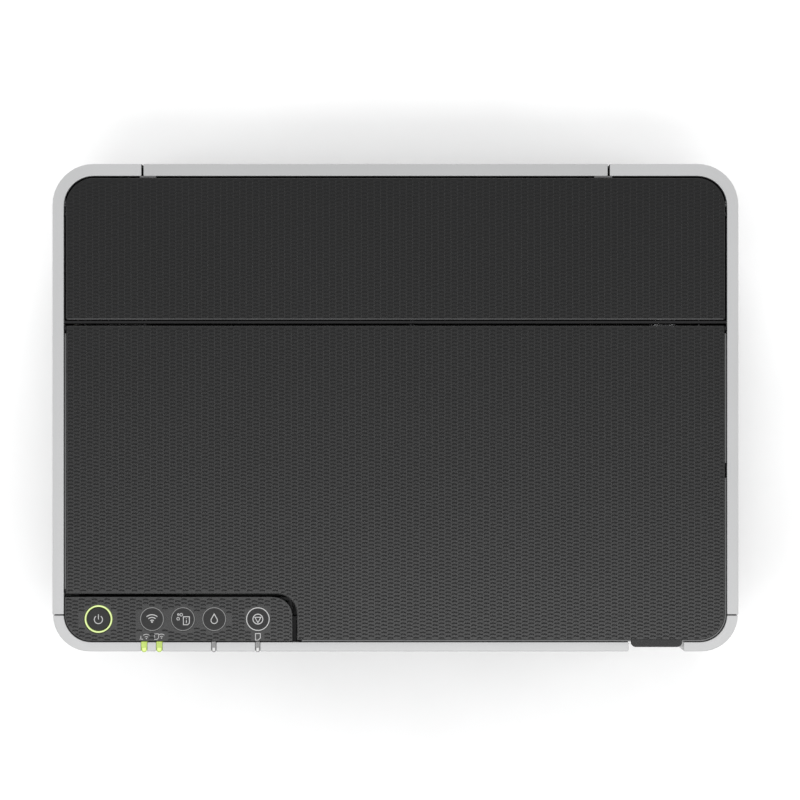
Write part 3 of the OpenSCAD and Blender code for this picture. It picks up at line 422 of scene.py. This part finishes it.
# Joining the flat faces of this one makes its floor render black.
NOT_MERGED = "bottom_case"

for sub in frame["record"]["subparts"]:
    paint(sub["node"], BY_SLOT[sub["material_slot"]])
paint_case()
paint_details()
for name in nodes:
    soften(name, EDGES.get(name, 0.0), merge=name != NOT_MERGED)


# ---- printer cover ----

LID_X, LID_FRONT, LID_STEP_Y = 181.0, -127.6, 40.8
CUT_X, CUT_Y, CUT_R, CORNER_R = -54.5, -102.3, 10.5, 15.0
PIN_Y, PIN_Z, PIN_R = 43.5, 158.9, 1.3
LID_REAR_Y = PIN_Y + 1.2
TAB_X, TAB_FRONT, TAB_R = (128.8, 156.7), -130.7, 2.6
LEDGE_Z, LEDGE = 159.6, 1.0
# Material 1 is painted shade: the hinge pins in the side gaps take the near-black that stands in for shade
# there, and the ribs and rails share it.
PAINTED_SHADE, PAINTED_HIGHLIGHT, TAB = 1, 2, 3  # material numbers; 0 is the top's


def lid_outline(d):
    """The cover from above, moved in by d, with the corner cut out for the control panel."""
    x = LID_X - d
    return ([(x, LID_STEP_Y), (-x, LID_STEP_Y), (-x, CUT_Y + d)]
            + arc(CUT_X - CUT_R, CUT_Y - CUT_R, CUT_R + d, 90, 0)
            + [(CUT_X + d, LID_FRONT + d)]
            + front_corner(d))


def front_corner(d):
    return arc(LID_X - CORNER_R, LID_FRONT + CORNER_R, CORNER_R - d, 270, 360, 14)


def lid_rear(d):
    """The cover's rear edge in section: rounded over the hinge pin, square in front of it."""
    wrap, edge = 1.5, 0.3
    return ([(LID_STEP_Y, PANEL_Z + d), (PIN_Y, PANEL_Z + d)] + arc(PIN_Y, PIN_Z, wrap - d, -90, 0, 6)[1:]
            + arc(LID_REAR_Y, TOP_Z - edge, edge - d, 0, 90, 3) + [(LID_STEP_Y, TOP_Z - d)])


def border(shape, path):
    """A strip on the ledge round the cover's top, lighter than the panel as a painted highlight; path(d) is
    its outline moved in by d.
    """
    section = [(0.0, PANEL_Z + 0.1), (0.92, PANEL_Z + 0.1), (0.92, TOP_Z - 0.25),
               (0.8, TOP_Z - 0.12), (0.2, TOP_Z - 0.16), (0.0, TOP_Z - 0.4)]
    shape.strip([(path(d), z) for d, z in section], PAINTED_HIGHLIGHT)


def lid_borders(shape):
    """The painted highlight strips leave out the tab, a break in the right side and the cut corner."""
    slot_x, break_y, left_end_y = -51.2, (-38.2, -30.0), -98.9
    border(shape, lambda d: [(slot_x, LID_FRONT + d), (TAB_X[0], LID_FRONT + d)])
    border(shape, lambda d: [(TAB_X[1], LID_FRONT + d)] + front_corner(d) + [(LID_X - d, break_y[0])])
    border(shape, lambda d: [(LID_X - d, break_y[1]), (LID_X - d, LID_STEP_Y)])
    border(shape, lambda d: [(-LID_X + d, LID_STEP_Y), (-LID_X + d, left_end_y)])


def lid_ribs(shape):
    """Crossed ribs under the cover, which keep it flat."""
    rib_x, rib_y, half_t, end, edge = range(-150, 151, 50), (-88.0, -30.0, 28.0), 0.8, 2.0, 0.2
    low, root = PANEL_Z - 5, PANEL_Z + SKIN
    for x in rib_x:
        shape.block((x - half_t, x + half_t), (rib_y[0] - end, rib_y[-1] + end), (low, root), edge, PAINTED_SHADE)
    for y in rib_y:
        shape.block((rib_x[0] - half_t, rib_x[-1] + half_t), (y - half_t, y + half_t),
                    (low + HAIR, root - HAIR), edge, PAINTED_SHADE)


def printer_cover():
    pin_reach, tab_lap, tab_drop, tab_rear_r, under_border = 2.4, 2.0, 0.2, 0.8, 0.35
    lid = Shape()
    lid.plate(lambda d: lid_outline(LEDGE - SKIN + d), PANEL_Z, TOP_Z, top=0.3, bottom=0.2)
    lid.plate(lambda d: lid_outline(LEDGE - under_border + d), PANEL_Z + HAIR, LEDGE_Z, top=0.1, bottom=0.2)
    lid.along_x(lid_rear, -LID_X + LEDGE, LID_X - LEDGE)
    lid.along_x(lambda d: circle(PIN_Y, PIN_Z, PIN_R - d, 24), -LID_X - pin_reach, LID_X + pin_reach,
                mark=PAINTED_SHADE)
    lid_borders(lid)
    lid.plate(lambda d: rounded(*TAB_X, TAB_FRONT, LID_FRONT + tab_lap, TAB_R, tab_rear_r, d, 5),
              PANEL_Z, TOP_Z - tab_drop, top=0.4, bottom=0.3, mark=TAB)
    lid_ribs(lid)
    piece = lid.piece("cover_panel", "cover", "panel_black", PANEL, SHADE, PANEL_HIGHLIGHT, PANEL_TAB)
    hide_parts("printer_cover")


printer_cover()


# ---- paper support ----

FLAP_X, FLAP_Y, FLAP_FRONT_R, FLAP_R = 180.3, (48.4, 125.8), 0.8, 15.3
PAPER_X = -11.0


def flap_outline(d):
    return rounded(-FLAP_X, FLAP_X, *FLAP_Y, FLAP_FRONT_R, FLAP_R, d, 12)


def support_rails(shape):
    """Two L-shaped rails underneath, which hold the extension."""
    rail_x, rail_y, half_t, foot_half, foot_t, lap, edge = 61.0, (51.0, 104.0), 1.0, 2.0, 1.0, 0.1, 0.2
    foot_top, root = PANEL_Z - 4, PANEL_Z + 0.5
    for side in (-1, 1):
        wall_x, foot_x = PAPER_X + side * rail_x, PAPER_X + side * (rail_x - half_t)
        shape.block((wall_x - half_t, wall_x + half_t), rail_y, (foot_top, root), edge, PAINTED_SHADE)
        shape.block((foot_x - foot_half, foot_x + foot_half), rail_y, (foot_top - foot_t, foot_top + lap),
                    edge, PAINTED_SHADE)


def paper_support():
    pin_y, pin_reach = 106.0, 3.4
    strip_y, strip_w, strip_z, strip_end = FLAP_Y[0] + SKIN, 0.5, (PANEL_Z + 0.3, TOP_Z + 0.01), 0.9
    flap = Shape()
    flap.plate(flap_outline, PANEL_Z, TOP_Z, top=0.35, bottom=0.3)
    flap.along_x(lambda d: circle(pin_y, PIN_Z, PIN_R - d, 24), -FLAP_X - pin_reach, FLAP_X + pin_reach,
                 mark=PAINTED_SHADE)
    support_rails(flap)
    # a strip of painted highlight along the flap's front edge
    flap.along_x(lambda d: rounded(strip_y, strip_y + strip_w, *strip_z, 0.1, 0.15, d, 3),
                 -FLAP_X + strip_end, FLAP_X - strip_end, end=0.1, mark=PAINTED_HIGHLIGHT)
    piece = flap.piece("support_panel", "support", "panel_black", PANEL, SHADE, PANEL_HIGHLIGHT)
    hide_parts("paper_support")


paper_support()


# ---- embossed pattern ----

COLUMN, PITCH, RIDGE_H, ARCH = 3.5, 2.0, 0.1, 0.45
RIDGE_FRONT, RIDGE_REAR = 0.09, 0.95
RIDGE_U = (-0.5, -0.42, 0.0, 0.42, 0.5)  # places along a ridge, as a share of its length
RIDGE_LIFT = (0.0, 1.0, 0.75, 1.0, 0.0)  # the height at each place, as a share of RIDGE_H
HALF_ROW = PITCH / 4
LEAST_REACH = 0.5
SINK = 0.02
EDGE_GAP, FLAP_GAP = 0.5, 0.7


def crossings(outline, y):
    """Where a level line at y crosses an outline, from left to right."""
    found = []
    for (x0, y0), (x1, y1) in zip(outline, outline[1:] + outline[:1]):
        if (y0 > y) != (y1 > y):
            found.append(x0 + (x1 - x0) * (y - y0) / (y1 - y0))
    return sorted(found)


def spans(outline, y):
    """The stretches of the row at y that lie inside the outline over the row's whole depth."""
    inset = HALF_ROW - HAIR / 2
    pairs = list(zip(crossings(outline, y - inset), crossings(outline, y + inset)))
    return [(max(left), min(right)) for left, right in zip(pairs[::2], pairs[1::2])]


def blocked(x, y, keep_out):
    """Whether a box of two x and two y comes too close to a round symbol or button."""
    for cx, cy, r in keep_out:
        gap_x, gap_y = max(0, x[0] - cx, cx - x[1]), max(0, y[0] - cy, cy - y[1])
        if math.hypot(gap_x, gap_y) < r:
            return True
    return False


def ridge(shape, x0, x1, y, z):
    """One arched ridge, steep in front and shallow behind, sunk a little into its panel."""
    verts = []
    for u, lift in zip(RIDGE_U, RIDGE_LIFT):
        x = (x0 + x1) / 2 + u * (x1 - x0)
        crest = y + ARCH * (1 - (2 * u) ** 2) - ARCH / 2
        verts += [(x, crest - RIDGE_FRONT, z - SINK), (x, crest, z - SINK + (RIDGE_H + SINK) * lift),
                  (x, crest + RIDGE_REAR, z - SINK)]
    corners = [3 * k + j for k in range(len(RIDGE_U) - 1) for j in (0, 1)]
    shape.add(verts, [(a, a + 3, a + 4, a + 1) for a in corners])


def relief(name, body, outline, keep_out=()):
    """Rows of shallow arched ridges in staggered columns, over an outline."""
    shape = Shape()
    x_low, y_low = (min(p[i] for p in outline) for i in (0, 1))
    y_high = max(p[1] for p in outline)
    rows = int(2 * (y_high - y_low) / PITCH) + 1
    for row in range(rows):
        y = y_low + HALF_ROW + row * PITCH / 2
        if y > y_high - HALF_ROW:
            break
        foot = y - HALF_ROW
        depth = (foot - ARCH / 2 - RIDGE_FRONT, foot + ARCH / 2 + RIDGE_REAR)
        for left, right in spans(outline, y):
            first, last = math.floor((left - x_low) / COLUMN), math.ceil((right - x_low) / COLUMN)
            for column in range(first, last):
                x0 = max(left, x_low + column * COLUMN)
                x1 = min(right, x_low + (column + 1) * COLUMN)
                staggered = (column + row) % 2 == 0
                if staggered and x1 - x0 >= 2 * LEAST_REACH and not blocked((x0, x1), depth, keep_out):
                    ridge(shape, x0, x1, foot, TOP_Z)
    shape.piece(name, body, "panel_black", RIDGE, solid=False, smooth=False)


SIGN_Y, SIGNS_X = -125.2, (-138.3, -129.2, KEYS["stop_key"])
POWER_CLEAR, KEY_CLEAR, SIGN_CLEAR = 7.9, 6.6, 1.9


def deck_outline():
    """The control panel's top, with room for its edges."""
    (x0, x1), (y0, y1), rear_r, front_r, d = (-180.9, -56.3), (-127.5, -103.3), 10.5, 14.6, EDGE_GAP
    return ([(x1 - d, y0 + d)] + arc(x1 - rear_r, y1 - rear_r, rear_r - d, 0, 90)
            + [(x0 + d, y1 - d)] + arc(x0 + front_r, y0 + front_r, front_r - d, 180, 270))


def lid_top():
    """The cover's top from its hinge to its front edge."""
    outline = lid_outline(LEDGE + EDGE_GAP)
    return [(x, LID_REAR_Y) for x, _ in outline[:2]] + outline[2:]


keep = ([(POWER_X, BUTTON_Y, POWER_CLEAR)] + [(x, BUTTON_Y, KEY_CLEAR) for x in KEYS.values()]
        + [(x, SIGN_Y, SIGN_CLEAR) for x in SIGNS_X])
relief("cover_pattern", "cover", lid_top())
relief("support_pattern", "support", flap_outline(FLAP_GAP))
relief("panel_pattern", "case", deck_outline(), keep)


# ---- printed symbols, with painted highlights on the keys' rims ----

INK_T = 0.03
KEY_Z, DECK_Z = BUTTON_TOP + 0.005, TOP_Z + 0.005
# The rings round the small keys are painted highlight on their rounded rims.
KEY_RING_R, KEY_RING_H, DIM_HIGHLIGHT_W, BRIGHT_HIGHLIGHT_W = 6.44, 0.3, 0.38, 0.52
LEAST_MITRE = 0.5
# BRIGHT marks print and the stop key's rim highlight; DIM_HIGHLIGHT marks the dimmer painted highlight on
# the other keys' rims.
BRIGHT, DIM_HIGHLIGHT = range(2)


def stroke(shape, points, width, z, closed=False):
    """A printed line of even width through the points."""
    n = len(points)
    left, right = [], []
    for i, p in enumerate(points):
        before = points[i - 1] if i or closed else None
        after = points[(i + 1) % n] if i < n - 1 or closed else None
        dirs = [Vector((q[0] - p[0], q[1] - p[1])).normalized() * s
                for q, s in ((before, -1), (after, 1)) if q is not None]
        along = sum(dirs, Vector((0, 0))).normalized()
        side = Vector((-along.y, along.x))
        reach = width / 2 / max(LEAST_MITRE, abs(side.dot(Vector((-dirs[-1].y, dirs[-1].x)))))
        left.append((p[0] + side.x * reach, p[1] + side.y * reach))
        right.append((p[0] - side.x * reach, p[1] - side.y * reach))
    verts = [(x, y, z + h) for h in (0, INK_T) for x, y in left + right]
    m = 2 * n
    faces = []
    for i in range(n if closed else n - 1):
        j = (i + 1) % n
        faces += [(n + i, n + j, j, i), (m + i, m + j, m + n + j, m + n + i),
                  (i, j, m + j, m + i), (n + j, n + i, m + n + i, m + n + j)]
    if not closed:
        faces += [(0, n, m + n, m), (n - 1, m + n - 1, m + 2 * n - 1, 2 * n - 1)]
    shape.add(verts, faces)


def waves(shape, x, y, size, width, z, count):
    """Arcs over a dot: a generic wireless sign."""
    start, end, dot_rise, dot_r, dot_line = 48, 132, 0.1, 0.55, 0.9
    for k in range(1, count + 1):
        stroke(shape, arc(x, y, size * k / count, start, end, 8), width, z)
    stroke(shape, circle(x, y + dot_rise * size, width * dot_r, 10), width * dot_line, z, closed=True)


def page(shape, x, y, w, h, width, z, fold):
    """A sheet of paper with a folded corner."""
    stroke(shape, [(x - w / 2, y - h / 2), (x + w / 2 - fold, y - h / 2), (x + w / 2, y - h / 2 + fold),
                   (x + w / 2, y + h / 2), (x - w / 2, y + h / 2)], width, z, closed=True)


def key_rim_highlight(shape, x, width, mark):
    """A painted highlight round the rim of a small button: a light ring where its rounded edge catches the
    light.
    """
    low, high = BUTTON_TOP - KEY_RING_H, BUTTON_TOP + INK_T
    shape.ring(x, BUTTON_Y, [(KEY_RING_R - width, low), (KEY_RING_R, low), (KEY_RING_R, high),
                             (KEY_RING_R - width, high)], mark=mark)


def power_sign(shape, x):
    """A ring open at the rear, with a bar through the gap."""
    line, r, half_gap = 0.48, 2.25, 35
    stroke(shape, arc(x, BUTTON_Y - 0.25, r, 90 + half_gap, 450 - half_gap, 22), line, KEY_Z)
    stroke(shape, [(x, BUTTON_Y - 0.15), (x, BUTTON_Y + 2.7)], line, KEY_Z)


def wireless_sign_and_highlight(shape, x):
    # a painted highlight on the key's rim, then the waves
    key_rim_highlight(shape, x, DIM_HIGHLIGHT_W, DIM_HIGHLIGHT)
    waves(shape, x, BUTTON_Y - 2.0, 4.4, 0.5, KEY_Z, 3)


def network_sign_and_highlight(shape, x):
    """Three rings beside a page with an i on it, and a painted highlight on the key's rim."""
    line, thin = 0.45, 0.35
    page_x = x + 1.9
    key_rim_highlight(shape, x, DIM_HIGHLIGHT_W, DIM_HIGHLIGHT)
    for dot_x, dot_y, r, n in ((-2.6, 0.2, 0.75, 14), (-0.9, 2.4, 0.75, 14), (-2.5, 2.5, 0.45, 12)):
        stroke(shape, circle(x + dot_x, BUTTON_Y + dot_y, r, n), thin, KEY_Z, closed=True)
    page(shape, page_x, BUTTON_Y - 0.9, 3.3, 4.4, line, KEY_Z, fold=0.9)
    stroke(shape, [(page_x, BUTTON_Y - 2.1), (page_x, BUTTON_Y - 0.5)], line, KEY_Z)
    stroke(shape, [(page_x, BUTTON_Y), (page_x, BUTTON_Y + 0.4)], line, KEY_Z)


def ink_sign_and_highlight(shape, x):
    """A drop: a point over a round belly, and a painted highlight on the key's rim."""
    point, belly_y, belly_r = (x, BUTTON_Y + 2.8), BUTTON_Y - 0.7, 1.75
    key_rim_highlight(shape, x, DIM_HIGHLIGHT_W, DIM_HIGHLIGHT)
    stroke(shape, [point] + arc(x, belly_y, belly_r, 150, 390, 18), 0.45, KEY_Z, closed=True)


def stop_sign_and_highlight(shape, x):
    """A triangle in a circle, and a bright painted highlight on the key's rim."""
    r, top, tip, half_w = 2.7, BUTTON_Y + 1.0, BUTTON_Y - 1.9, 1.7
    key_rim_highlight(shape, x, BRIGHT_HIGHLIGHT_W, BRIGHT)
    stroke(shape, circle(x, BUTTON_Y, r, 28), 0.5, KEY_Z, closed=True)
    stroke(shape, [(x - half_w, top), (x, tip), (x + half_w, top)], 0.45, KEY_Z, closed=True)


def key_sign(name, key, x, draw, *materials):
    shape = Shape()
    draw(shape, x)
    shape.piece(name, key, "button_black", *materials, solid=False)


def panel_signs():
    """Small signs over the lights: a page, a page with waves, and waves with a stand."""
    line, thin = 0.4, 0.34
    stand_x, stand_y = -139.2, -126.4
    shape = Shape()
    page(shape, KEYS["stop_key"], -125.1, 2.7, 3.6, line, DECK_Z, fold=1.2)
    page(shape, -130.6, -125.0, 2.2, 3.0, 0.32, DECK_Z, fold=0.8)
    waves(shape, -127.9, -126.0, 2.4, thin, DECK_Z, 2)
    waves(shape, -136.2, -126.3, 2.6, thin, DECK_Z, 2)
    stroke(shape, [(stand_x, stand_y), (stand_x, stand_y + 1.8)], line, DECK_Z)
    stroke(shape, [(stand_x - 0.7, stand_y), (stand_x + 1.3, stand_y)], line, DECK_Z)
    shape.piece("panel_prints", "case", "panel_black", PRINT_AND_HIGHLIGHT, solid=False)


key_sign("power_symbol", "power_key", POWER_X, power_sign, PRINT_AND_HIGHLIGHT)
key_sign("wireless_symbol_and_highlight", "wireless_key", KEYS["wireless_key"], wireless_sign_and_highlight, PRINT_AND_HIGHLIGHT, RIM_HIGHLIGHT_GREY)
key_sign("network_symbol_and_highlight", "network_key", KEYS["network_key"], network_sign_and_highlight, PRINT_AND_HIGHLIGHT, RIM_HIGHLIGHT_GREY)
key_sign("ink_symbol_and_highlight", "ink_key", KEYS["ink_key"], ink_sign_and_highlight, PRINT_AND_HIGHLIGHT, RIM_HIGHLIGHT_GREY)
key_sign("stop_symbol_and_highlight", "stop_key", KEYS["stop_key"], stop_sign_and_highlight, PRINT_AND_HIGHLIGHT)
panel_signs()


# ---- light guides ----

LIT_X, DARK_X, LIT_W, DARK_W = (-137.4, -129.1), (-99.3, -75.3), 3.2, 2.5
PIPE_Y, PIPE_TIP_Y, PIPE_FOOT_Y = (-133.5, -127.7), -131.0, -130.3
PIPE_Z, PIPE_FOOT_Z = 155.2, (150.0, 156.0)
LIT, LIT_TIP, DARK, DARK_TIP, RING = range(5)


def pipe(shape, x, w, body_mark, tip_mark):
    """A light guide that crosses the rim and ends in a rounded, frosted tip with a border."""
    border_w, side = 0.3, w / 2

    def tip(r, gap):
        """A tip's outline: round in front, and square where it ends a gap short of the guide."""
        rear = PIPE_TIP_Y - gap
        return lambda d: (arc(x, PIPE_Y[0] + side - SKIN, r - d, 180, 360, 12)
                          + [(x + r - d, rear), (x - r + d, rear)])

    shape.plate(lambda d: rounded(x - side, x + side, PIPE_TIP_Y, PIPE_Y[1], 0.2, 0.3, d, 3),
                PIPE_Z, RIM_TOP - 0.25, top=0.2, bottom=0.1, steps=2, mark=body_mark)
    shape.plate(tip(side - SKIN - border_w, HAIR), PIPE_Z, RIM_TOP - 0.1, top=0.5, bottom=0.1, steps=4,
                mark=tip_mark)
    shape.plate(tip(side - SKIN, HAIR / 2), PIPE_Z + 0.1, RIM_TOP - 0.3, top=0.3, bottom=0.1,
                mark=body_mark)
    shape.block((x - side, x + side), (PIPE_FOOT_Y, PIPE_Y[1]), PIPE_FOOT_Z, edge=0.1, mark=body_mark)


def power_ring(shape):
    inner, outer, bevel = 6.68, 7.54, 0.2
    low, shoulder, high = PANEL_Z + 0.1, TOP_Z - 0.1, TOP_Z + 0.1
    shape.ring(POWER_X, BUTTON_Y, [(inner, low), (outer, low), (outer, shoulder), (outer - bevel, high),
                                   (inner + bevel, high), (inner, shoulder)], mark=RING)


def light_guides():
    guides = Shape()
    for x in LIT_X:
        pipe(guides, x, LIT_W, LIT, LIT_TIP)
    for x in DARK_X:
        pipe(guides, x, DARK_W, DARK, DARK_TIP)
    power_ring(guides)
    piece = guides.piece("light_guides", "case", "light_guide", GUIDE_LIT, GUIDE_LIT_TIP, GUIDE_DARK,
                         GUIDE_TIP, RING_LIT)
    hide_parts("light_pipes")


light_guides()


# ---- ink in the tank ----

INK_X, INK_Y, INK_Z = (123.05, 170.95), (-119.95, -64.05), (32.05, 76.0)
ink = Shape()
ink.block(INK_X, INK_Y, INK_Z, edge=0.3)
ink.piece("ink", "case", "tube_dark", INK)


# ---- hinge tabs behind the paper support ----

HINGES_X, HINGE_Y, HINGE_Z = ((-139.9, -130.9), (108.8, 118.6)), (126.05, 126.95), (155.5, 160.0)
hinge_tabs = Shape()
for span in HINGES_X:
    hinge_tabs.block(span, HINGE_Y, HINGE_Z, edge=0.15)
hinge_tabs.piece("hinge_tabs", "case", "inner_grey", HINGE)


# ---- stage, in metres ----

FLOOR_HALF = 6.0
VIEW_W, VIEW_MID = 0.4373, (0.0025, 0.0044)
CLIP_END = 20


def light(name, at, size, share):
    """A soft light aimed at the top; share is the part of a white face's brightness it gives there."""
    aim = Vector((0, 0, RIM_TOP * MM))
    way = Vector(at) - aim
    data = bpy.data.lights.new(name, "AREA")
    data.shape = "RECTANGLE"
    data.size, data.size_y = size
    data.energy = share * math.pi ** 2 * way.length ** 3 / way.z
    obj = bpy.data.objects.new(name, data)
    bpy.context.scene.collection.objects.link(obj)
    obj.location = at
    obj.rotation_euler = way.to_track_quat("Z", "Y").to_euler()


def studio():
    world = bpy.data.worlds.new("studio")
    bpy.context.scene.world = world
    world.use_nodes = True
    background = world.node_tree.nodes["Background"]
    background.inputs["Color"].default_value = (1, 1, 1, 1)
    background.inputs["Strength"].default_value = 0.5
    light("key", at=(0, -0.5, 1.95), size=(1.3, 0.5), share=0.4)
    light("rear", at=(0, 1.7, 1.2), size=(1.4, 0.8), share=0.27)
    light("left", at=(-1.4, 0, 1.4), size=(1.0, 1.0), share=0.2)
    light("right", at=(1.4, -0.1, 1.4), size=(1.0, 1.0), share=0.18)
    light("front", at=(0, -1.3, 1.3), size=(1.4, 1.0), share=0.06)
    bpy.context.scene.view_settings.view_transform = "Standard"


def pale_floor():
    mesh = bpy.data.meshes.new("floor")
    s = FLOOR_HALF
    mesh.from_pydata([(-s, -s, 0), (s, -s, 0), (s, s, 0), (-s, s, 0)], [], [(0, 1, 2, 3)])
    mesh.materials.append(FLOOR)
    floor = bpy.data.objects.new("floor", mesh)
    bpy.context.scene.collection.objects.link(floor)


def view_from_above():
    """The photo's view, straight down with a long lens; VIEW_W is the frame's width at the rim's height."""
    data = bpy.data.cameras.new("camera")
    data.sensor_width, data.lens = 36, 165
    data.clip_end = CLIP_END
    camera = bpy.data.objects.new("camera", data)
    bpy.context.scene.collection.objects.link(camera)
    camera.location = (*VIEW_MID, RIM_TOP * MM + VIEW_W * data.lens / data.sensor_width)
    camera.rotation_euler = (0, 0, 0)
    bpy.context.scene.camera = camera


studio()
pale_floor()
view_from_above()
